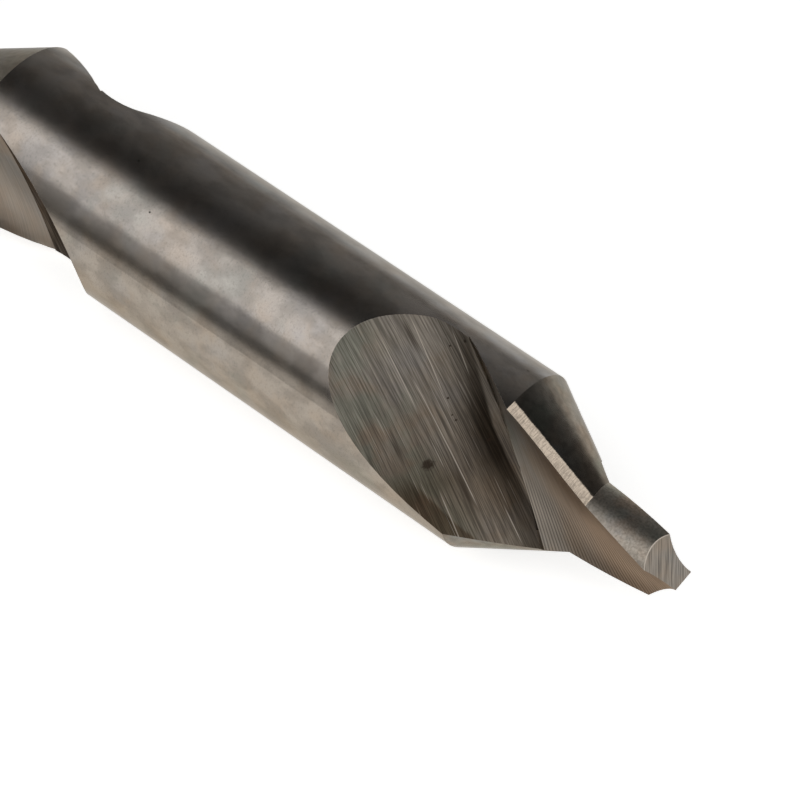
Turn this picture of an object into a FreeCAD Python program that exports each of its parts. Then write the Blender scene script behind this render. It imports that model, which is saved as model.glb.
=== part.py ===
import FreeCAD, Part
import math
import os

V = FreeCAD.Vector

# Double-ended centre drill, plain (60 degree) form, ground from one round bar of high-speed steel.
# It lies along X with one point at each end. Z is up, all sizes are in mm and degrees.
# The origin is on the axis at mid length.

shank_dia = 10.0        # round body that the chuck holds
pilot_dia = 4.0         # thin drill at each end
overall_length = 55.0   # chisel edge to chisel edge
pilot_length = 5.6      # chisel edge to the small end of the cone
cone_angle = 60.0       # countersink, full angle

# The point: two flat facets on each end, meeting in the chisel edge.
facet_angle = 49.6      # between a facet and the drill's axis
facet_turn = 19.2       # direction in which facet 1 looks, about the axis

# Behind a bright margin each countersink land is relieved, so that only the margin rubs.
margin_turn = 31.5      # direction in which the margin of land 1 ends, about the axis
relief_shift = 0.15     # axis of the relieved cone from the axis of the drill

# The flutes: two on each end, right-hand.
lead = 53.7             # length of one full turn
web_thickness = 1.18    # steel left between the two flutes
flute_radius = 3.0      # round section across the flute
rake_phase = -84.4      # direction of flute 1 from the axis at the point

# The grinding wheel leaves its own round at the end of every flute.
wheel_radius = 33.0
wheel_reach = 0.125     # axis of the drill to the rim of the wheel
wheel_station = 3.56    # where the wheel comes nearest to the axis, from the point
wheel_turn = -1.4       # direction of the wheel's centre about the axis
wheel_tilt = 31.2       # wheel's plane against the drill's axis
wheel_offset = 3.64     # crest of the rim, along the wheel's spindle
heel_round = 1.00       # rim rounding towards the heel
heel_slope = 18.8       # flank beyond that rounding
rake_round = 1.36       # rim rounding towards the cutting edge
rake_slope = 82.7

# Where the moving wheel stopped: the plane that ends the helical part of the flute.
stop_station = 9.6
stop_lean_u = 0.46
stop_lean_v = 1.05

# How the drill lies: direction of up at end 1, and the axis about which end 2 is end 1 turned over.
lie_turn = 29.4
flip_turn = -36.0

shank_r = shank_dia / 2
pilot_r = pilot_dia / 2
half_length = overall_length / 2
cone_length = (shank_r - pilot_r) / math.tan(math.radians(cone_angle / 2))
flip_radians = math.radians(flip_turn - lie_turn)
flip_axis = V(0, math.sin(flip_radians), math.cos(flip_radians))


def direction(turn):
    return V(0, math.cos(math.radians(turn)), math.sin(math.radians(turn)))


def outline_point(station, radius):
    return V(station, 0, 0) + flip_axis * radius


# Body: one revolved outline with both pilots and both countersinks. It starts on the side of
# the flip axis, so that the seam of the round faces runs out into a flute at both ends.
def make_body():
    cone_start = half_length - pilot_length
    cone_end = cone_start - cone_length
    outline = [
        outline_point(-half_length, 0),
        outline_point(-half_length, pilot_r),
        outline_point(-cone_start, pilot_r),
        outline_point(-cone_end, shank_r),
        outline_point(cone_end, shank_r),
        outline_point(cone_start, pilot_r),
        outline_point(half_length, pilot_r),
        outline_point(half_length, 0),
    ]
    face = Part.Face(Part.makePolygon(outline + [outline[0]]))
    return face.revolve(V(0, 0, 0), V(1, 0, 0), 360)


# The cutters of one end are drawn with the point at the origin and X running back into the drill.
# A turn is measured about X from Y towards Z.
def make_facet_cutter():
    reach = shank_dia
    ahead = 1.0
    look = direction(facet_turn)
    chisel = direction(facet_turn + 90)
    slope = 1 / math.tan(math.radians(facet_angle))
    start = chisel * -reach
    corners = [
        start,
        start + look * reach + V(slope * reach, 0, 0),
        start + look * reach + V(-ahead, 0, 0),
        start + V(-ahead, 0, 0),
    ]
    face = Part.Face(Part.makePolygon(corners + [corners[0]]))
    return face.extrude(chisel * (2 * reach))


# A relieved land is an equal cone set off to one side, which leaves the full cone at the margin.
def make_relief_cutter():
    slope = math.tan(math.radians(cone_angle / 2))
    start = pilot_length - 1.0
    end = pilot_length + cone_length + 1.0
    shift = direction(margin_turn - 90) * relief_shift
    small_r = pilot_r - slope
    large_r = shank_r + slope
    cone = Part.makeCone(small_r, large_r, end - start, V(start, 0, 0) + shift, V(1, 0, 0))
    pilot = Part.makeCylinder(pilot_r, end - start, V(start, 0, 0), V(1, 0, 0))
    reach = shank_dia
    first = V(start, 0, 0) + direction(margin_turn - 8) * reach
    middle = V(start, 0, 0) + direction(margin_turn + 60) * (2 * reach)
    last = V(start, 0, 0) + direction(margin_turn + 125) * reach
    corners = [V(start, 0, 0), first, middle, last]
    face = Part.Face(Part.makePolygon(corners + [corners[0]]))
    sector = face.extrude(V(end - start, 0, 0))
    return sector.cut(cone).cut(pilot)


def make_helical_cutter():
    run_in = 2.0
    run_out = 24.0
    span = run_in + run_out
    start_turn = rake_phase - 360 * run_in / lead
    centre = direction(start_turn) * (web_thickness / 2 + flute_radius) + V(-run_in, 0, 0)
    section = Part.Wire(Part.Circle(centre, V(1, 0, 0), flute_radius).toShape())
    guide = Part.makeHelix(lead, span, shank_dia)
    guide.rotate(V(0, 0, 0), V(0, 1, 0), 90)
    guide.translate(V(-run_in, 0, 0))
    axis = Part.Wire(Part.makeLine(V(-run_in, 0, 0), V(run_out, 0, 0)))
    sweep = Part.BRepOffsetAPI.MakePipeShell(axis)
    sweep.setAuxiliarySpine(Part.Wire(guide), True, 0)
    sweep.add(section)
    sweep.build()
    sweep.makeSolid()
    cutter = sweep.shape()
    # keep only what lies before the stop plane
    normal = V(1, -stop_lean_u, -stop_lean_v)
    normal.normalize()
    size = 120.0
    block = Part.makeBox(size, size, size, V(-size / 2, -size / 2, -size))
    block.Placement = FreeCAD.Placement(V(stop_station, 0, 0), FreeCAD.Rotation(V(0, 0, 1), normal))
    return cutter.common(block)


def make_wheel():
    inward = direction(wheel_turn)
    across = direction(wheel_turn + 90)
    tilt = math.radians(wheel_tilt)
    spindle = V(math.sin(tilt), 0, 0) - across * math.cos(tilt)
    centre = V(wheel_station, 0, 0) + inward * (wheel_reach + wheel_radius)

    def rim(along, radius):
        return centre + spindle * along - inward * radius

    heel = math.radians(heel_slope)
    rake = math.radians(rake_slope)
    heel_width = 12.0
    rake_width = 0.9
    crest = rim(wheel_offset, wheel_radius)
    heel_mid = rim(wheel_offset + heel_round * math.sin(heel / 2),
                   wheel_radius - heel_round * (1 - math.cos(heel / 2)))
    heel_along = wheel_offset + heel_round * math.sin(heel)
    heel_rad = wheel_radius - heel_round * (1 - math.cos(heel))
    heel_end = rim(heel_along, heel_rad)
    heel_far = rim(heel_along + heel_width, heel_rad - heel_width * math.tan(heel))
    rake_mid = rim(wheel_offset - rake_round * math.sin(rake / 2),
                   wheel_radius - rake_round * (1 - math.cos(rake / 2)))
    rake_along = wheel_offset - rake_round * math.sin(rake)
    rake_rad = wheel_radius - rake_round * (1 - math.cos(rake))
    rake_end = rim(rake_along, rake_rad)
    rake_far = rim(rake_along - rake_width, rake_rad - rake_width * math.tan(rake))
    edges = [
        Part.Arc(rake_end, rake_mid, crest).toShape(),
        Part.Arc(crest, heel_mid, heel_end).toShape(),
        Part.makeLine(heel_end, heel_far),
        Part.makeLine(heel_far, rake_far),
        Part.makeLine(rake_far, rake_end),
    ]
    face = Part.Face(Part.Wire(edges))
    return face.revolve(centre, spindle, 360)


def turned(shape, turn):
    copy = shape.copy()
    copy.rotate(V(0, 0, 0), V(1, 0, 0), turn)
    return copy


# One end's set of cutters, brought to the +X end of the drill.
def make_end_cutters():
    single = [make_relief_cutter(), make_helical_cutter(), make_wheel(), make_facet_cutter()]
    cutters = []
    for shape in single:
        for turn in (0, 180):
            cutters.append(turned(shape, turn - lie_turn))
    for shape in cutters:
        # the half turn brings X back to front, and Y of the sketch up to Z
        shape.rotate(V(0, 0, 0), V(0, 1, 1), 180)
        shape.translate(V(half_length, 0, 0))
    return cutters


end_cutters = make_end_cutters()
other_cutters = []
for shape in end_cutters:
    copy = shape.copy()
    copy.rotate(V(0, 0, 0), flip_axis, 180)
    other_cutters.append(copy)

drill = make_body()
for shape in end_cutters + other_cutters:
    drill = drill.cut(shape)
drill = drill.removeSplitter()
solids = drill.Solids
solids.sort(key=lambda piece: piece.Volume, reverse=True)
drill = solids[0]

os.makedirs("parts", exist_ok=True)
drill.exportStep("parts/centre_drill.step")
print("solids", len(solids), "volume", drill.Volume, "valid", drill.isValid(), drill.BoundBox)
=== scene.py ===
import math

import bpy
import numpy as np
from mathutils import Matrix, Vector


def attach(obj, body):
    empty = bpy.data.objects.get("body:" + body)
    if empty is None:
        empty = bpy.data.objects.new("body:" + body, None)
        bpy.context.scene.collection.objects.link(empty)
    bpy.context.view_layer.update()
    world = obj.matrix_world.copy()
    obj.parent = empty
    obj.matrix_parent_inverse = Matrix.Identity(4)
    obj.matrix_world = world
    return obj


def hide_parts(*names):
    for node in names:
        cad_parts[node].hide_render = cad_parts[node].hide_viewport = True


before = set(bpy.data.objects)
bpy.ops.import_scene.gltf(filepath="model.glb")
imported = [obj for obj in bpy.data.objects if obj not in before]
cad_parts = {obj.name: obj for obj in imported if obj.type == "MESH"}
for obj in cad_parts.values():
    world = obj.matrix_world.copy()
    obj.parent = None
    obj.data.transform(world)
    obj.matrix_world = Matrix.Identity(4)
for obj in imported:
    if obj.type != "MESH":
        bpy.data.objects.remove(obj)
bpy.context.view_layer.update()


# The bar: one round of high-speed steel, hardened and ground all over, with the same tool at both
# ends. The finished bar takes its mesh from the frame. Every surface on it was left by a wheel,
# so each corner of the mesh is told how that wheel saw it, and the finishes below draw with that.
MM = 0.001
SHANK_R = 5.0
PILOT_R = 2.0
HALF_LENGTH = 27.5
PILOT_LENGTH = 5.6
CONE_HALF_ANGLE = math.radians(30.0)
CONE_SLOPE = math.tan(CONE_HALF_ANGLE)
CONE_BACK = PILOT_LENGTH + (SHANK_R - PILOT_R) / CONE_SLOPE
FLUTE_R = 3.0                            # round section of a flute
WEB = 1.18                               # steel left between the two flutes
FLUTE_CENTRE = FLUTE_R + WEB / 2         # middle of a flute's round, from the axis
FLUTE_TURN = math.radians(-84.4)         # direction of flute 1 at the point, about the axis
TWIST = 2 * math.pi / 53.7               # turn of the flutes for each millimetre of the drill
MARGIN_TURN = math.radians(31.5)         # where the margin of land 1 ends, about the axis
RELIEF_SHIFT = 0.15                      # axis of a relieved land's cone, from the drill's
LIE_TURN = math.radians(29.4)            # direction of up at end 1
FLIP_TURN = math.radians(-36.0)          # end 2 is end 1 turned over about this direction

bar = bpy.data.objects.new("centre_drill_finished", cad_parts["centre_drill"].data.copy())
bpy.context.scene.collection.objects.link(bar)
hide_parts("centre_drill")
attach(bar, "root")

mesh = bar.data
mesh.materials.clear()
corner_vertex = np.empty(len(mesh.loops), np.int32)
mesh.loops.foreach_get("vertex_index", corner_vertex)
vertex_places = np.empty(len(mesh.vertices) * 3, np.float32)
mesh.vertices.foreach_get("co", vertex_places)
places = vertex_places.reshape(-1, 3)[corner_vertex].astype(float) / MM
face_normals = np.empty(len(mesh.polygons) * 3, np.float32)
mesh.polygons.foreach_get("normal", face_normals)
normals = np.repeat(face_normals.reshape(-1, 3).astype(float), 3, axis=0)


def per_face(rows):
    """The mean over each triangle, repeated for its three corners."""
    return np.repeat(rows.reshape(-1, 3, rows.shape[-1]).mean(axis=1), 3, axis=0)


far_end = per_face(places)[:, :1] < 0
flip_axis = np.array([0.0, math.sin(FLIP_TURN - LIE_TURN), math.cos(FLIP_TURN - LIE_TURN)])
lie_cos, lie_sin = math.cos(LIE_TURN), math.sin(LIE_TURN)


def turned_over(rows):
    """End 2 brought to end 1, or back, which is the same half turn."""
    return np.where(far_end, 2 * np.outer(rows @ flip_axis, flip_axis) - rows, rows)


def to_wheel(rows):
    """The drill's own directions to the wheel's: back from the point, then u and v across."""
    x, y, z = turned_over(rows).T
    return np.stack([-x, z * lie_cos - y * lie_sin, z * lie_sin + y * lie_cos], axis=1)


def from_wheel(rows):
    """The wheel's directions to the drill's own."""
    back, u, v = rows.T
    y = v * lie_cos - u * lie_sin
    z = v * lie_sin + u * lie_cos
    return turned_over(np.stack([-back, y, z], axis=1))


def turn_about_axis(rows, turn):
    """Rows of back, u and v, each turned about the drill's axis by its own angle."""
    back, u, v = rows.T
    turned_u = u * np.cos(turn) - v * np.sin(turn)
    turned_v = u * np.sin(turn) + v * np.cos(turn)
    return np.stack([back, turned_u, turned_v], axis=1)


wheel_places = to_wheel(places)
wheel_places[:, 0] += HALF_LENGTH
wheel_normals = to_wheel(normals)
middles = per_face(wheel_places)
back_middle = middles[:, 0]

# The six kinds of ground surface, told apart by where each face lies and looks.
SHANK, LAND, PILOT, HELIX, RUNOUT, FACET = range(6)
ROUND_WITHIN = 0.03                      # corners on a round are this near to it
ROUND_LOOKS_OUT = 0.8                    # cosine, from straight out of the axis
CONE_LOOKS_AHEAD = 0.25                  # sine, ahead from straight across
FACET_ALIKE = 0.999                      # cosine, from the way a facet looks
FACET_LEAN = math.radians(49.6)          # how far ahead a facet looks
FACET_TURN = math.radians(19.2)          # direction of facet 1, about the axis
FACET_LOOK = np.array([
    -math.sin(FACET_LEAN),
    math.cos(FACET_LEAN) * math.cos(FACET_TURN),
    math.cos(FACET_LEAN) * math.sin(FACET_TURN),
])
OTHER_FACET_LOOK = FACET_LOOK * [1, -1, -1]
STOP_PLANE = np.array([1.0, -0.46, -1.05])       # where the moving wheel stopped
STOP_BACK = 9.6

radius = np.hypot(wheel_places[:, 1], wheel_places[:, 2])
cone_radius = PILOT_R + (wheel_places[:, 0] - PILOT_LENGTH) * CONE_SLOPE
past_margin = np.arctan2(wheel_places[:, 2], wheel_places[:, 1]) % math.pi - MARGIN_TURN
relieved_radius = cone_radius - RELIEF_SHIFT * np.sin(past_margin)
round_radius = np.clip(np.minimum(cone_radius, relieved_radius), PILOT_R, SHANK_R)
outward = (wheel_normals[:, 1:] * wheel_places[:, 1:]).sum(axis=1) / radius
corner_is_round = (np.abs(radius - round_radius) < ROUND_WITHIN) & (outward > ROUND_LOOKS_OUT)
is_round = per_face(corner_is_round[:, None].astype(float))[:, 0] > 0.99
is_first_facet = wheel_normals @ FACET_LOOK > FACET_ALIKE
is_facet = is_first_facet | (wheel_normals @ OTHER_FACET_LOOK > FACET_ALIKE)

twisted = TWIST * np.minimum(back_middle, CONE_BACK)
unwound = np.arctan2(middles[:, 2], middles[:, 1]) - twisted - FLUTE_TURN
is_first = np.where(is_round, np.sin(unwound) > 0, np.cos(unwound) > 0)
is_first = np.where(is_facet, is_first_facet, is_first)
half_turn = np.where(is_first, 0.0, math.pi)
local_places = turn_about_axis(wheel_places, half_turn)
past_stop = per_face((local_places @ STOP_PLANE)[:, None])[:, 0] > STOP_BACK

surface = np.where(past_stop, RUNOUT, HELIX)
behind_cone = back_middle > (PILOT_LENGTH + CONE_BACK) / 2
surface = np.where(is_round, np.where(behind_cone, SHANK, PILOT), surface)
surface = np.where(is_round & (wheel_normals[:, 0] < -CONE_LOOKS_AHEAD), LAND, surface)
surface = np.where(is_facet, FACET, surface)
mesh.polygons.foreach_set("material_index", surface[::3].astype(np.int32))

# feed: how far the moving wheel still had to go when it cut a place. wound: the place as the bar
# lay then.
FEED_STEPS = 8
FEED_START, FEED_END = -3.0, 16.0
feed = np.zeros(len(places))
for _ in range(FEED_STEPS):
    wound = turn_about_axis(local_places, TWIST * feed)
    miss = wound @ STOP_PLANE + feed - STOP_BACK
    slope = 1 + TWIST * (STOP_PLANE[2] * wound[:, 1] - STOP_PLANE[1] * wound[:, 2])
    feed = np.clip(feed - miss / slope, FEED_START, FEED_END)
wound = turn_about_axis(local_places, TWIST * feed)

# grain: the first value runs across the wheel's lines and the others along them, in millimetres.
# across: the direction across the lines. The sheen of ground steel spreads that way.
SPINDLE = np.array([0.518, -0.021, -0.855])
SPINDLE = SPINDLE / np.linalg.norm(SPINDLE)
ROUND_WHEEL = np.cross(SPINDLE, [0.0, 1.0, 0.0])
ROUND_WHEEL = ROUND_WHEEL / np.linalg.norm(ROUND_WHEEL)
RUNOUT_AXES = np.stack([SPINDLE, ROUND_WHEEL, np.cross(SPINDLE, ROUND_WHEEL)])
FACET_DOWN = math.radians(137.5)         # facet lines, from the facet's steepest line
APART = 40.0                             # no two ends or flutes share their marks

steepest = np.array([-1.0, 0.0, 0.0]) + FACET_LOOK * FACET_LOOK[0]
steepest = steepest / np.linalg.norm(steepest)
facet_along = steepest * math.cos(FACET_DOWN) + np.cross(FACET_LOOK, steepest) * math.sin(FACET_DOWN)
facet_across = np.cross(FACET_LOOK, facet_along)
apart = APART * (2 * far_end[:, 0] + ~is_first)
runout_grain = local_places @ RUNOUT_AXES.T + apart[:, None] * [[0, 0, 1]]
helix_grain = np.stack([feed, wound[:, 1], wound[:, 2] + apart], axis=1)
facet_grain = np.stack([local_places @ facet_across, local_places @ facet_along, apart], axis=1)


def across_everywhere(direction, turn):
    """The wheel's direction for every corner, turned with its flute, in the drill's directions."""
    return from_wheel(turn_about_axis(np.tile(direction, (len(places), 1)), turn))


corner_grain = places.copy()
corner_across = np.tile([1.0, 0.0, 0.0], (len(places), 1))
for kind, kind_grain, kind_across in (
    (RUNOUT, runout_grain, across_everywhere(SPINDLE, -half_turn)),
    (HELIX, helix_grain, across_everywhere(SPINDLE, -half_turn - TWIST * feed)),
    (FACET, facet_grain, across_everywhere(facet_across, -half_turn)),
):
    of_kind = (surface == kind)[:, None]
    corner_grain = np.where(of_kind, kind_grain, corner_grain)
    corner_across = np.where(of_kind, kind_across, corner_across)

# margin: how far a land's surface lies behind its margin, before which it is less than nothing.
# In a run-out and on a facet it is how far the place lies inside the round, below nothing.
PILOT_MARGIN = 0.50
MARGIN_TAPER = 0.055                     # a cone's margin narrows towards the pilot
local_radius = np.hypot(local_places[:, 1], local_places[:, 2])
edge_cosine = (local_radius**2 + FLUTE_CENTRE**2 - FLUTE_R**2) / (2 * local_radius * FLUTE_CENTRE)
edge_turn = FLUTE_TURN + np.arccos(np.clip(edge_cosine, -1, 1)) + TWIST * local_places[:, 0]
land_turn = np.arctan2(local_places[:, 2], local_places[:, 1])
cone_margin = (land_turn - MARGIN_TURN) * local_radius + MARGIN_TAPER * (SHANK_R - local_radius)
pilot_margin = (land_turn - edge_turn) * local_radius - PILOT_MARGIN
corner_margin = np.where(surface == PILOT, pilot_margin, cone_margin)
corner_margin = np.where(surface == RUNOUT, local_radius - SHANK_R, corner_margin)
corner_margin = np.where(surface == FACET, local_radius - PILOT_R, corner_margin)

# flatten: what turns the cone's own direction into that of a margin which the wheel left flat.
MARGIN_LOOK = math.radians(15.4)
flat_u = math.cos(CONE_HALF_ANGLE) * (math.cos(MARGIN_LOOK) - np.cos(land_turn))
flat_v = math.cos(CONE_HALF_ANGLE) * (math.sin(MARGIN_LOOK) - np.sin(land_turn))
corner_flatten = np.stack([np.zeros(len(places)), flat_u, flat_v], axis=1)
corner_flatten = from_wheel(turn_about_axis(corner_flatten, -half_turn))

for name, kind, field, rows in (
    ("grain", "FLOAT_VECTOR", "vector", corner_grain),
    ("across", "FLOAT_VECTOR", "vector", corner_across),
    ("margin", "FLOAT", "value", corner_margin),
    ("flatten", "FLOAT_VECTOR", "vector", corner_flatten),
):
    made = mesh.attributes.new(name, kind, "CORNER")
    made.data.foreach_set(field, rows.astype(np.float32).ravel())


# Shank: the round that the chuck grips, cylindrically ground high-speed steel. The wheel's fine
# rings spread its reflections along the drill, so they stand as clean bands round a dark grey
# steel. Handling has left it blotchy, with a few pits.
EDGE_BREAK = 0.02                        # every edge of the drill is rounded this much
LONG_MARKS = (1.0, 0.03, 0.03)           # grinding marks run some 30 times their width


def linear(code):
    """An sRGB hex colour as the linear red, green, blue and alpha that the shaders work in."""
    parts = [int(code[i : i + 2], 16) / 255 for i in (1, 3, 5)]
    return [p / 12.92 if p <= 0.04045 else ((p + 0.055) / 1.055) ** 2.4 for p in parts] + [1.0]


def add(tree, kind, sockets=None, out=0, stops=(), **settings):
    """One output of a new node, with the node's settings, values or links, and a ramp's stops."""
    made = tree.nodes.new("ShaderNode" + kind)
    for name, value in settings.items():
        setattr(made, name, value)
    for socket, value in (sockets or {}).items():
        if isinstance(value, bpy.types.NodeSocket):
            tree.links.new(value, made.inputs[socket])
        else:
            made.inputs[socket].default_value = value
    for index, (place, colour) in enumerate(stops):
        elements = made.color_ramp.elements
        stop = elements[index] if index < len(elements) else elements.new(place)
        stop.position = place
        stop.color = linear(colour) if isinstance(colour, str) else [colour] * 3 + [1.0]
    return made.outputs[out]


def ground_steel(name, roughness, anisotropic):
    """A new ground high-speed steel on the bar: its nodes, its shader and its grain."""
    material = bpy.data.materials.new(name)
    material.use_nodes = True
    mesh.materials.append(material)
    tree = material.node_tree
    shader = tree.nodes["Principled BSDF"]
    shader.inputs["Metallic"].default_value = 1.0
    shader.inputs["Roughness"].default_value = roughness
    shader.inputs["Specular Tint"].default_value = linear("#d2cdc6")
    shader.inputs["Anisotropic"].default_value = anisotropic
    across = add(tree, "Attribute", out="Vector", attribute_name="across")
    tree.links.new(across, shader.inputs["Tangent"])
    return tree, shader, add(tree, "Attribute", out="Vector", attribute_name="grain")


def random_marks(tree, grain, per_mm, detail, stretch=(1, 1, 1), shift=0.0):
    """Random marks, so many to a millimetre, longer along the grain where stretch is under 1."""
    shifts = (shift, shift, shift)
    laid = add(tree, "VectorMath", {0: grain, 1: stretch, 2: shifts}, operation="MULTIPLY_ADD")
    return add(tree, "TexNoise", {"Vector": laid, "Scale": per_mm, "Detail": detail}, "Fac")


def scored(tree, colour, marks, low, high, dark, light=1.0):
    """The colour times dark where the marks are low, and up to light where they are high."""
    limits = {0: marks, 1: low, 2: high, 3: dark, 4: light}
    depth = add(tree, "MapRange", limits, interpolation_type="SMOOTHSTEP")
    return add(tree, "Mix", {0: 1.0, 6: colour, 7: depth}, 2, data_type="RGBA", blend_type="MULTIPLY")


def shaded_or_tinted(tree, colour, value, untinted, fully_tinted, tint_colour):
    """The colour times a tint colour, none of it at the first value and all of it at the second. On the
    shank's sides the tint is painted shade.
    """
    share = add(tree, "MapRange", {0: value, 1: untinted, 2: fully_tinted}, interpolation_type="SMOOTHSTEP")
    sockets = {0: share, 6: colour, 7: linear(tint_colour)}
    return add(tree, "Mix", sockets, 2, data_type="RGBA", blend_type="MULTIPLY")


def blotched(tree, grain, shift, plain, warm, cool, green):
    """Ground steel's colour with the faint blotches that coolant and fingers leave on it."""
    colour = linear(plain)
    for tint, per_mm, detail, own_shift, untinted, fully_tinted in (
        (warm, 0.55, 4, 0.0, 0.42, 0.66),
        (cool, 0.40, 5, 7.0, 0.50, 0.70),
        (green, 0.35, 4, 19.0, 0.52, 0.72),
    ):
        patches = random_marks(tree, grain, per_mm, detail, shift=shift + own_shift)
        share = add(tree, "MapRange", {0: patches, 1: untinted, 2: fully_tinted}, interpolation_type="SMOOTHSTEP")
        colour = add(tree, "Mix", {0: share, 6: colour, 7: linear(tint)}, 2, data_type="RGBA")
    return colour


def pitted(tree, grain, spacing, size, share):
    """1 inside a few small pits: one in each cell of that spacing, in that share of the cells."""
    cells = add(tree, "TexVoronoi", {"Vector": grain, "Scale": 1.0 / spacing}).node.outputs
    chosen = add(tree, "SeparateColor", {0: cells["Color"]})
    limits = {0: chosen, 1: 1.0 - share, 2: 1.01 - share}
    there = add(tree, "MapRange", limits, interpolation_type="SMOOTHSTEP")
    ragged = random_marks(tree, grain, 1.5 / size, 2)
    reach = add(tree, "Math", {0: ragged, 1: 1.6 * size / spacing}, operation="MULTIPLY")
    inside = add(tree, "Math", {0: cells["Distance"], 1: reach}, operation="LESS_THAN")
    return add(tree, "Math", {0: inside, 1: there}, operation="MULTIPLY")


def finish(tree, shader, colour, height, depth, turn=None):
    """Joins a colour, and relief of that depth in millimetres, to the shader on broken edges."""
    look = add(tree, "Bevel", {"Radius": EDGE_BREAK * MM}, samples=4)
    if turn is not None:
        look = add(tree, "VectorMath", {0: look, 1: turn}, operation="ADD")
        look = add(tree, "VectorMath", {0: look}, operation="NORMALIZE")
    relief = {"Height": height, "Distance": depth * MM, "Strength": 1.0, "Normal": look}
    tree.links.new(add(tree, "Bump", relief), shader.inputs["Normal"])
    tree.links.new(colour, shader.inputs["Base Color"])


SHANK_PITS = ((-5.0, -2.19, 4.49), (15.77, 2.38, 4.39), (-7.4, -0.35, 4.98))
SHANK_PIT_R = (0.03, 0.07)               # inner and outer edge of such a pit
tree, shader, grain = ground_steel("cylindrically ground high-speed steel", 0.23, 0.74)
colour = blotched(tree, grain, 0.0, "#aea69e", "#afa499", "#aca6a1", "#a9a59e")
clouds = random_marks(tree, grain, 0.8, 6, (0.7, 1.0, 1.0), 3.0)
colour = scored(tree, colour, clouds, 0.38, 0.60, 0.77)
specks = random_marks(tree, grain, 9.0, 4, (1.0, 0.7, 0.7), 3.0)
colour = scored(tree, colour, specks, 0.3, 0.5, 0.87)
# painted shade, matched to the photo: a little warmer and darker low on the near side, and greyer on the
# far side
place = add(tree, "SeparateXYZ", {0: grain}).node.outputs
colour = shaded_or_tinted(tree, colour, place["Z"], 3.4, 2.5, "#ebe8e2")
colour = shaded_or_tinted(tree, colour, place["Y"], 2.3, 3.0, "#e1e9f2")
pits = pitted(tree, grain, 1.6, 0.05, 0.16)
for middle in SHANK_PITS:
    away = add(tree, "VectorMath", {0: grain, 1: middle}, "Value", operation="DISTANCE")
    limits = {0: away, 1: SHANK_PIT_R[0], 2: SHANK_PIT_R[1], 3: 1.0, 4: 0.0}
    pit = add(tree, "MapRange", limits, interpolation_type="SMOOTHSTEP")
    pits = add(tree, "Math", {0: pits, 1: pit}, operation="MAXIMUM")
colour = add(tree, "Mix", {0: pits, 6: colour, 7: linear("#1c1916")}, 2, data_type="RGBA")
# the rings are finer on the real shank, and drawn as coarse as they need to show
rings = random_marks(tree, grain, 14.0, 3, LONG_MARKS)
height = add(tree, "Math", {0: rings, 1: specks}, operation="ADD")
height = add(tree, "Math", {0: height, 1: pits}, operation="SUBTRACT")
finish(tree, shader, colour, height, 0.0007)

# Countersink lands: the 60 degree cone behind each cutting edge, relief ground. A margin is left on
# the full cone, freshly ground and bright. The rest is relieved and dull, with painted shade that is
# darkest just behind the margin.
MARGIN_RAGGED = 0.12                     # how far the margin's hind edge wanders
tree, shader, grain = ground_steel("relief ground high-speed steel", 0.27, 0.5)
behind = add(tree, "Attribute", out="Fac", attribute_name="margin")
ragged = random_marks(tree, grain, 7.0, 3, (1.0, 0.3, 0.3))
behind_edge = add(tree, "Math", {0: ragged, 1: MARGIN_RAGGED, 2: behind}, operation="MULTIPLY_ADD")
relieved = add(tree, "MapRange", {0: behind_edge, 1: 0.03, 2: 0.12}, interpolation_type="SMOOTHSTEP")
colour = blotched(tree, grain, 31.0, "#8b857c", "#897e72", "#858480", "#808177")
clouds = random_marks(tree, grain, 2.6, 5, shift=12.0)
colour = scored(tree, colour, clouds, 0.3, 0.7, 0.68)
# painted shade: darkest just behind the margin and lighter further back
colour = scored(tree, colour, behind, 0.7, 2.4, 0.48, 1.08)
lines = random_marks(tree, grain, 17.0, 2, (1.0, 0.08, 0.08), 11.0)
specks = random_marks(tree, grain, 7.0, 3, shift=15.0)
bright = scored(tree, linear("#b9ab9b"), lines, 0.34, 0.62, 0.70)
bright = scored(tree, bright, specks, 0.32, 0.55, 0.80)
colour = add(tree, "Mix", {0: relieved, 6: bright, 7: colour}, 2, data_type="RGBA")
limits = {0: relieved, 1: 0.0, 2: 1.0, 3: 1.0, 4: 0.0}
on_margin = add(tree, "MapRange", limits, interpolation_type="SMOOTHSTEP")
flatten = add(tree, "Attribute", out="Vector", attribute_name="flatten")
flatten = add(tree, "VectorMath", {0: flatten, "Scale": on_margin}, operation="SCALE")
finish(tree, shader, colour, lines, 0.0015, flatten)

# Pilot lands: the round of the thin drill, ground high-speed steel with a bright margin like the
# cone's. It is dulled and scuffed where it has rubbed in the hole, most of all near the cone.
NEAR_CONE, NEAR_POINT = 22.4, 25.6       # from the drill's middle
tree, shader, grain = ground_steel("scuffed ground high-speed steel", 0.42, 0.4)
behind = add(tree, "Attribute", out="Fac", attribute_name="margin")
from_middle = add(tree, "Math", {0: add(tree, "SeparateXYZ", {0: grain})}, operation="ABSOLUTE")
rubbed = add(tree, "MapRange", {0: from_middle, 1: NEAR_CONE, 2: NEAR_POINT, 3: 0.45, 4: 0.2})
rubbed = add(tree, "Math", {0: rubbed, 1: behind}, operation="ADD")
mottle = random_marks(tree, grain, 3.0, 5)
dull = add(tree, "Math", {0: mottle, 1: 0.5, 2: rubbed}, operation="MULTIPLY_ADD")
dull = add(tree, "MapRange", {0: dull, 1: 0.0, 2: 0.4}, interpolation_type="SMOOTHSTEP")
colour = blotched(tree, grain, 53.0, "#aba398", "#ac9d8e", "#a5a29d", "#a1a196")
colour = add(tree, "Mix", {0: dull, 6: linear("#aea498"), 7: colour}, 2, data_type="RGBA")
specks = random_marks(tree, grain, 8.0, 4)
colour = scored(tree, colour, specks, 0.3, 0.7, 0.66)
finish(tree, shader, colour, specks, 0.003)

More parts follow.
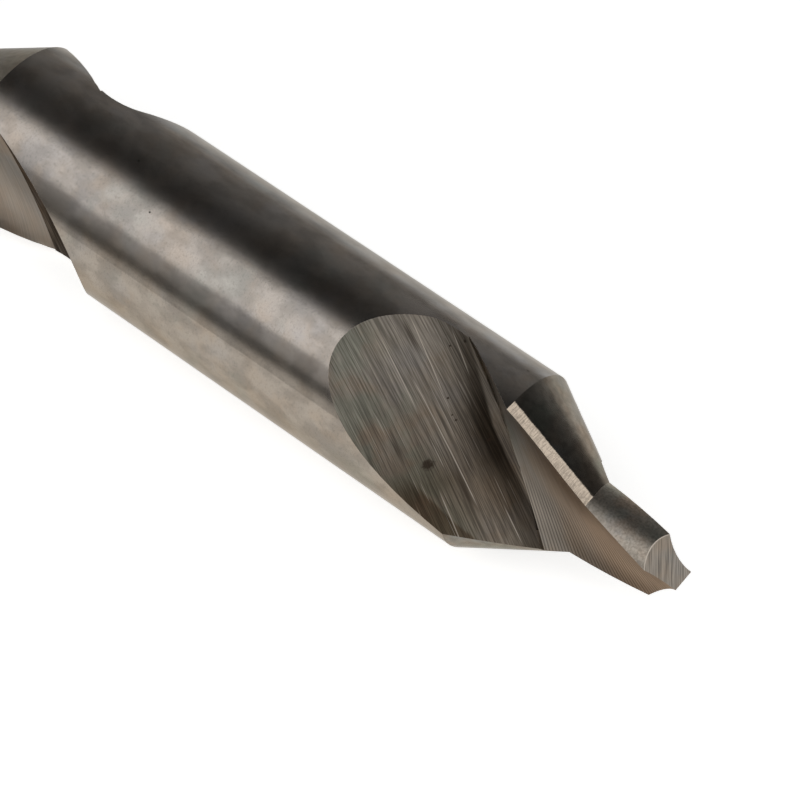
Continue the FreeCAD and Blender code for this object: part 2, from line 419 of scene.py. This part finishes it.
# Helical flutes: high-speed steel cut by the edge of a wheel that moved along the turning bar. It
# left a fine, even row of feed marks, lying as the wheel did, and heat browned them towards the
# point.
FEED_PITCH = 0.223
tree, shader, grain = ground_steel("creep-feed ground high-speed steel", 0.44, 0.45)
place = add(tree, "SeparateXYZ", {0: grain}).node.outputs
waver = random_marks(tree, grain, 0.9, 2, shift=5.0)
phase = add(tree, "Math", {0: place["X"], 1: 2 * math.pi / FEED_PITCH}, operation="MULTIPLY")
phase = add(tree, "Math", {0: waver, 1: 2.0, 2: phase}, operation="MULTIPLY_ADD")
wave = add(tree, "Math", {0: phase}, operation="SINE")
feed_marks = add(tree, "MapRange", {0: wave, 1: -1.0, 2: 0.4}, interpolation_type="SMOOTHSTEP")
limits = {0: place["Y"], 1: 0.25, 2: 0.85, 3: 0.0, 4: 0.85}
smoothed = add(tree, "MapRange", limits, interpolation_type="SMOOTHSTEP")
feed_marks = add(tree, "Math", {0: feed_marks, 1: smoothed}, operation="MAXIMUM")
scratches = random_marks(tree, grain, 14.0, 3, LONG_MARKS, 2.0)
colour = blotched(tree, grain, 71.0, "#a2988c", "#a19282", "#9b968f", "#97948a")
limits = {0: place["X"], 1: 1.0, 2: 5.0, 3: 0.0, 4: 0.8}
burnt = add(tree, "MapRange", limits, interpolation_type="SMOOTHSTEP")
colour = add(tree, "Mix", {0: burnt, 6: colour, 7: linear("#927a64")}, 2, data_type="RGBA")
colour = scored(tree, colour, place["Y"], 0.0, 0.3, 0.72)
colour = scored(tree, colour, feed_marks, 0.0, 1.0, 0.55)
colour = scored(tree, colour, scratches, 0.3, 0.7, 0.82)
height = add(tree, "Math", {0: feed_marks, 1: scratches}, operation="ADD")
finish(tree, shader, colour, height, 0.004)

# Run-outs: the wheel's own round, left in the steel where it stood still at the end of each flute.
# Its coarse grit drew long scratches round it, coolant coloured it green and heat brown, and painted
# shade darkens the middle and the bottom of the cut, so it looks rough and dark beside the shank.
RUNOUT_PITS = (
    ((8.95, 10.38, -2.24), 0.42),
    ((6.72, 13.02, -2.23), 0.09),
    ((6.91, 12.2, -2.03), 0.07),
    ((6.85, 11.91, -1.92), 0.1),
    ((5.51, 15.24, -2.67), 0.08),
    ((4.68, 15.04, -2.87), 0.16),
    ((5.87, 10.47, -1.18), 0.18),
)
BRIGHT_SCRATCHES = (                     # the grain's x and y at both ends
    ((6.85, 13.0), (6.5, 17.4)),
    ((7.68, 7.4), (7.78, 14.8)),
    ((6.5, 4.8), (6.55, 7.4)),
    ((5.35, 13.4), (4.98, 16.2)),
    ((9.1, 5.6), (9.0, 9.2)),
    ((8.3, 12.6), (8.2, 17.0)),
)
DARK_SCRATCHES = (
    ((6.96, 15.2), (6.88, 17.4)),
    ((7.86, 7.3), (7.96, 10.0)),
    ((10.0, 10.6), (9.9, 12.6)),
)
BRIGHT_WIDTH = 0.035
DARK_WIDTH = 0.16
PIT_SHAPE = (0.8, 1.1, 1.0)              # a pit is longer across the scratches than along them
tree, shader, grain = ground_steel("coarse ground high-speed steel", 0.5, 0.8)
x, y, z = add(tree, "SeparateXYZ", {0: grain}).node.outputs
colour = blotched(tree, grain, 97.0, "#a69d92", "#a49687", "#a29b94", "#a59c92")
# dried coolant left it greenish on the shank's side
patches = random_marks(tree, grain, 0.5, 4, shift=86.0)
coolant = add(tree, "MapRange", {0: patches, 1: 0.38, 2: 0.56}, interpolation_type="SMOOTHSTEP")
side = add(tree, "MapRange", {0: x, 1: 7.4, 2: 9.4}, interpolation_type="SMOOTHSTEP")
coolant = add(tree, "Math", {0: coolant, 1: side}, operation="MULTIPLY")
colour = add(tree, "Mix", {0: coolant, 6: colour, 7: linear("#9c9a8e")}, 2, data_type="RGBA")
# the wheel's scratches are finer on the real steel, and drawn as coarse as they need to show
fine = random_marks(tree, grain, 19.0, 3, (1.0, 0.02, 0.02))
wide = random_marks(tree, grain, 7.0, 2, LONG_MARKS, 17.0)
broad = random_marks(tree, grain, 3.0, 3, LONG_MARKS, 9.0)
grit = random_marks(tree, grain, 12.0, 3, (1.0, 0.12, 0.12), 41.0)
for marks, low, dark in ((fine, 0.34, 0.50), (wide, 0.34, 0.86), (broad, 0.35, 0.86), (grit, 0.32, 0.84)):
    colour = scored(tree, colour, marks, low, 1 - low, dark)
# painted shade: the middle of the cut is darker
DARKENED = [(0.0, "#f4f0ea"), (0.2, "#d2cbc2"), (0.4, "#b9b1a7"), (0.6, "#d6d2cd"), (1.0, "#fafaf8")]
along = add(tree, "MapRange", {0: y, 1: 5.5, 2: 15.5})
middle_shade = add(tree, "ValToRGB", {0: along}, stops=DARKENED)
colour = add(tree, "Mix", {0: 1.0, 6: colour, 7: middle_shade}, 2, data_type="RGBA", blend_type="MULTIPLY")
# heat browned the heel, where the wheel left the bar last
inside = add(tree, "Attribute", out="Fac", attribute_name="margin")
inside = add(tree, "Math", {0: wide, 1: 0.3, 2: inside}, operation="MULTIPLY_ADD")
heel = add(tree, "MapRange", {0: y, 1: 10.6, 2: 8.8}, interpolation_type="SMOOTHSTEP")
for value, none, full in ((x, 7.3, 8.4), (inside, -0.80, -0.62)):
    share = add(tree, "MapRange", {0: value, 1: none, 2: full}, interpolation_type="SMOOTHSTEP")
    heel = add(tree, "Math", {0: heel, 1: share}, operation="MULTIPLY")
browned = {0: heel, 6: colour, 7: linear("#c9bcb2")}
colour = add(tree, "Mix", browned, 2, data_type="RGBA", blend_type="MULTIPLY")
# the far end's run-outs are a little darker and browner all over, where the grain's z is past both near
# ones
colour = shaded_or_tinted(tree, colour, z, 59.0, 60.0, "#e2d8cf")
# painted shade: a dark band along the bottom of the cut, in the hollow of the wheel's rounded rim
waver = random_marks(tree, grain, 0.8, 3, (1.0, 0.3, 0.3), 33.0)
middle = add(tree, "MapRange", {0: y, 1: 15.5, 2: 11.0, 3: 4.55, 4: 5.60})
aside = add(tree, "Math", {0: x, 1: middle}, operation="SUBTRACT")
aside = add(tree, "Math", {0: waver, 1: -0.3, 2: aside}, operation="MULTIPLY_ADD")
band = add(tree, "MapRange", {0: aside, 1: -0.52, 2: -0.26}, interpolation_type="SMOOTHSTEP")
for value, low, high, at_low, at_high in (
    (aside, 0.0, 1.6, 1.0, 0.0),
    (y, 11.5, 15.5, 1.0, 0.6),
    (y, 8.0, 10.0, 0.80, 0.97),
):
    limits = {0: value, 1: low, 2: high, 3: at_low, 4: at_high}
    share = add(tree, "MapRange", limits, interpolation_type="SMOOTHSTEP")
    band = add(tree, "Math", {0: band, 1: share}, operation="MULTIPLY")
band_shade = {0: band, 6: colour, 7: linear("#69635c")}
colour = add(tree, "Mix", band_shade, 2, data_type="RGBA", blend_type="MULTIPLY")


def scratched(low, high, width, strength):
    """That strength along one scratch, from its low end to its high end in the grain's x and y."""
    middle = add(tree, "MapRange", {0: y, 1: low[1], 2: high[1], 3: low[0], 4: high[0]})
    aside = add(tree, "Math", {0: x, 1: middle}, operation="SUBTRACT")
    aside = add(tree, "Math", {0: aside}, operation="ABSOLUTE")
    scratch = strength
    for value, none, full in (
        (aside, width, width / 3),
        (y, low[1], low[1] + 1.0),
        (y, high[1], high[1] - 1.0),
    ):
        share = add(tree, "MapRange", {0: value, 1: none, 2: full}, interpolation_type="SMOOTHSTEP")
        scratch = add(tree, "Math", {0: share, 1: scratch}, operation="MULTIPLY")
    return scratch


# single grains of grit left bright scratches outside the band, and a few dark ones
deep = random_marks(tree, grain, 14.0, 1, (1.0, 0.02, 0.02), 23.0)
limits = {0: deep, 1: 0.69, 2: 0.76, 3: 0.0, 4: 0.35}
bright = add(tree, "MapRange", limits, interpolation_type="SMOOTHSTEP")
outside_band = add(tree, "Math", {0: 1.0, 1: band}, operation="SUBTRACT")
bright = add(tree, "Math", {0: bright, 1: outside_band}, operation="MULTIPLY")
for low, high in BRIGHT_SCRATCHES:
    scratch = scratched(low, high, BRIGHT_WIDTH, 0.55)
    bright = add(tree, "Math", {0: bright, 1: scratch}, operation="MAXIMUM")
colour = add(tree, "Mix", {0: bright, 6: colour, 7: linear("#c6bcb0")}, 2, data_type="RGBA")
for low, high in DARK_SCRATCHES:
    scratch = scratched(low, high, DARK_WIDTH, 0.6)
    colour = add(tree, "Mix", {0: scratch, 6: colour, 7: linear("#3a322b")}, 2, data_type="RGBA")
pits = pitted(tree, grain, 1.9, 0.07, 0.2)
ragged = random_marks(tree, grain, 6.0, 2, shift=51.0)
squeezed = add(tree, "VectorMath", {0: grain, 1: PIT_SHAPE}, operation="MULTIPLY")
for middle, size in RUNOUT_PITS:
    squeezed_middle = [value * share for value, share in zip(middle, PIT_SHAPE)]
    away = add(tree, "VectorMath", {0: squeezed, 1: squeezed_middle}, "Value", operation="DISTANCE")
    away = add(tree, "Math", {0: ragged, 1: -size, 2: away}, operation="MULTIPLY_ADD")
    limits = {0: away, 1: size * 0.35, 2: -size * 0.2}
    pit = add(tree, "MapRange", limits, interpolation_type="SMOOTHSTEP")
    pits = add(tree, "Math", {0: pits, 1: pit}, operation="MAXIMUM")
darkness = add(tree, "Math", {0: pits, 1: 0.85}, operation="MULTIPLY")
colour = add(tree, "Mix", {0: darkness, 6: colour, 7: linear("#2e251e")}, 2, data_type="RGBA")
height = add(tree, "Math", {0: broad, 1: 1.6, 2: fine}, operation="MULTIPLY_ADD")
height = add(tree, "Math", {0: pits, 1: -1.5, 2: height}, operation="MULTIPLY_ADD")
finish(tree, shader, colour, height, 0.005)

# Point facets: the two flats of the point, which meet in the chisel edge. Each was ground in one
# pass by the wheel's face, which left straight lines on bright steel. A thin painted highlight runs along
# the rim.
tree, shader, grain = ground_steel("face ground high-speed steel", 0.36, 0.5)
lines = random_marks(tree, grain, 15.0, 3, LONG_MARKS)
colour = blotched(tree, grain, 131.0, "#b2a699", "#b0a191", "#aba49b", "#a8a398")
colour = scored(tree, colour, lines, 0.32, 0.62, 0.45)
inside = add(tree, "Attribute", out="Fac", attribute_name="margin")
# a painted highlight: a thin bright line along the facet's rim, where it meets the pilot's round
rim = add(tree, "MapRange", {0: inside, 1: -0.05, 2: -0.02}, interpolation_type="SMOOTHSTEP")
colour = add(tree, "Mix", {0: rim, 6: colour, 7: linear("#d3c8bb")}, 2, data_type="RGBA")
finish(tree, shader, colour, lines, 0.004)


# Table: a plain white board of painted fibre. It glows of itself, painted light that keeps it pale all
# over and the drill's shadow soft, and the glow fades away from the drill like a pool of light.
TABLE_SIZE = 3.0
LIT_MIDDLE = (0.010, 0.0, 0.0)
LIT_REACH = 0.35
FADE = [(0.0, 0.68), (0.1, 0.68), (0.14, 0.38), (0.2, 0.24), (0.5, 0.15), (1.0, 0.12)]
bpy.ops.mesh.primitive_plane_add(size=TABLE_SIZE, location=(0, 0, -SHANK_R * MM))
table = bpy.context.object
table.name = "table"
white_board = bpy.data.materials.new("matt painted white board")
white_board.use_nodes = True
table.data.materials.append(white_board)
tree = white_board.node_tree
board = tree.nodes["Principled BSDF"]
board.inputs["Base Color"].default_value = linear("#e6e6e4")
board.inputs["Roughness"].default_value = 0.9
# painted light: the board glows of itself, brightest near the drill
board.inputs["Emission Color"].default_value = linear("#ffffff")
spot = add(tree, "TexCoord", out="Object")
distance = add(tree, "VectorMath", {0: spot, 1: LIT_MIDDLE}, "Value", operation="DISTANCE")
far = add(tree, "Math", {0: distance, 1: 1 / LIT_REACH}, operation="MULTIPLY")
tree.links.new(add(tree, "ValToRGB", {0: far}, stops=FADE), board.inputs["Emission Strength"])

# Light: two long soft boxes, a bright one before a dim one, above the near side of the drill, in a
# dim room that is darkest overhead. They give the shank its bright band and the dark one beyond.
WALLS = [(0.0, 0.26), (0.1, 0.24), (0.33, 0.20), (0.45, 0.165), (0.65, 0.10), (0.81, 0.035), (1.0, 0.02)]
studio = bpy.data.worlds.new("dim studio")
bpy.context.scene.world = studio
studio.use_nodes = True
tree = studio.node_tree
way = add(tree, "SeparateXYZ", {0: add(tree, "TexCoord", out="Generated")}).node.outputs
walls = add(tree, "ValToRGB", {0: way["Z"]}, stops=WALLS)
near = add(tree, "MapRange", {0: way["Y"], 1: -0.9, 2: 0.3, 3: 0.7, 4: 1.0})
room = add(tree, "Mix", {0: 1.0, 6: walls, 7: near}, 2, data_type="RGBA", blend_type="MULTIPLY")
tree.links.new(room, tree.nodes["Background"].inputs["Color"])

BOX_TURN = math.radians(24.0)
BOX_LINE = Vector((math.cos(BOX_TURN), math.sin(BOX_TURN), 0.0))
BOX_SIDE = Vector((math.sin(BOX_TURN), -math.cos(BOX_TURN), 0.0))
for name, distance, first_degrees, last_degrees, length, radiance in (
    ("dim soft box", 0.45, -7.0, 73.5, 1.2, 0.46),
    ("bright soft box", 0.44, 1.0, 47.0, 1.1, 0.76),
):
    lean = math.radians((first_degrees + last_degrees) / 2)
    half_width = math.radians((last_degrees - first_degrees) / 2)
    to_box = BOX_SIDE * math.sin(lean) + Vector((0.0, 0.0, math.cos(lean)))
    panel = bpy.data.lights.new(name, "AREA")
    panel.shape = "RECTANGLE"
    panel.size = length
    panel.size_y = 2 * distance * math.tan(half_width)
    panel.energy = radiance * math.pi * panel.size * panel.size_y
    box = bpy.data.objects.new(name, panel)
    bpy.context.scene.collection.objects.link(box)
    facing = Matrix((BOX_LINE, to_box.cross(BOX_LINE), to_box)).transposed().to_4x4()
    box.matrix_world = Matrix.Translation(to_box * distance) @ facing

# Card: a square of white card, stood beyond the near point and facing it, so that the facet of
# the point isn't dark.
CARD_WAY = Vector((0.92, 0.257, 0.288))
CARD_DISTANCE = 0.4
CARD_RADIANCE = 0.45
card = bpy.data.lights.new("white card", "AREA")
card.size = 0.3
card.energy = CARD_RADIANCE * math.pi * card.size**2
held = bpy.data.objects.new("white card", card)
bpy.context.scene.collection.objects.link(held)
held.location = CARD_WAY * CARD_DISTANCE
held.rotation_euler = CARD_WAY.to_track_quat("Z", "Y").to_euler()

# Camera: a long lens that looks down on one end at the photo's angle, so that the other end leaves
# the picture.
AIM = Vector((10.046, -0.516, 0.0)) * MM
AZIMUTH = math.radians(-49.871)
ELEVATION = math.radians(53.612)
DISTANCE = 192.98 * MM
FOCAL_LENGTH = 173.94
away = Vector((
    math.cos(ELEVATION) * math.cos(AZIMUTH),
    math.cos(ELEVATION) * math.sin(AZIMUTH),
    math.sin(ELEVATION),
))
lens = bpy.data.cameras.new("camera")
lens.lens = FOCAL_LENGTH
lens.clip_start = 0.01
camera = bpy.data.objects.new("camera", lens)
bpy.context.scene.collection.objects.link(camera)
camera.location = AIM + away * DISTANCE
camera.rotation_euler = away.to_track_quat("Z", "Y").to_euler()
bpy.context.scene.camera = camera
bpy.context.scene.view_settings.view_transform = "Standard"
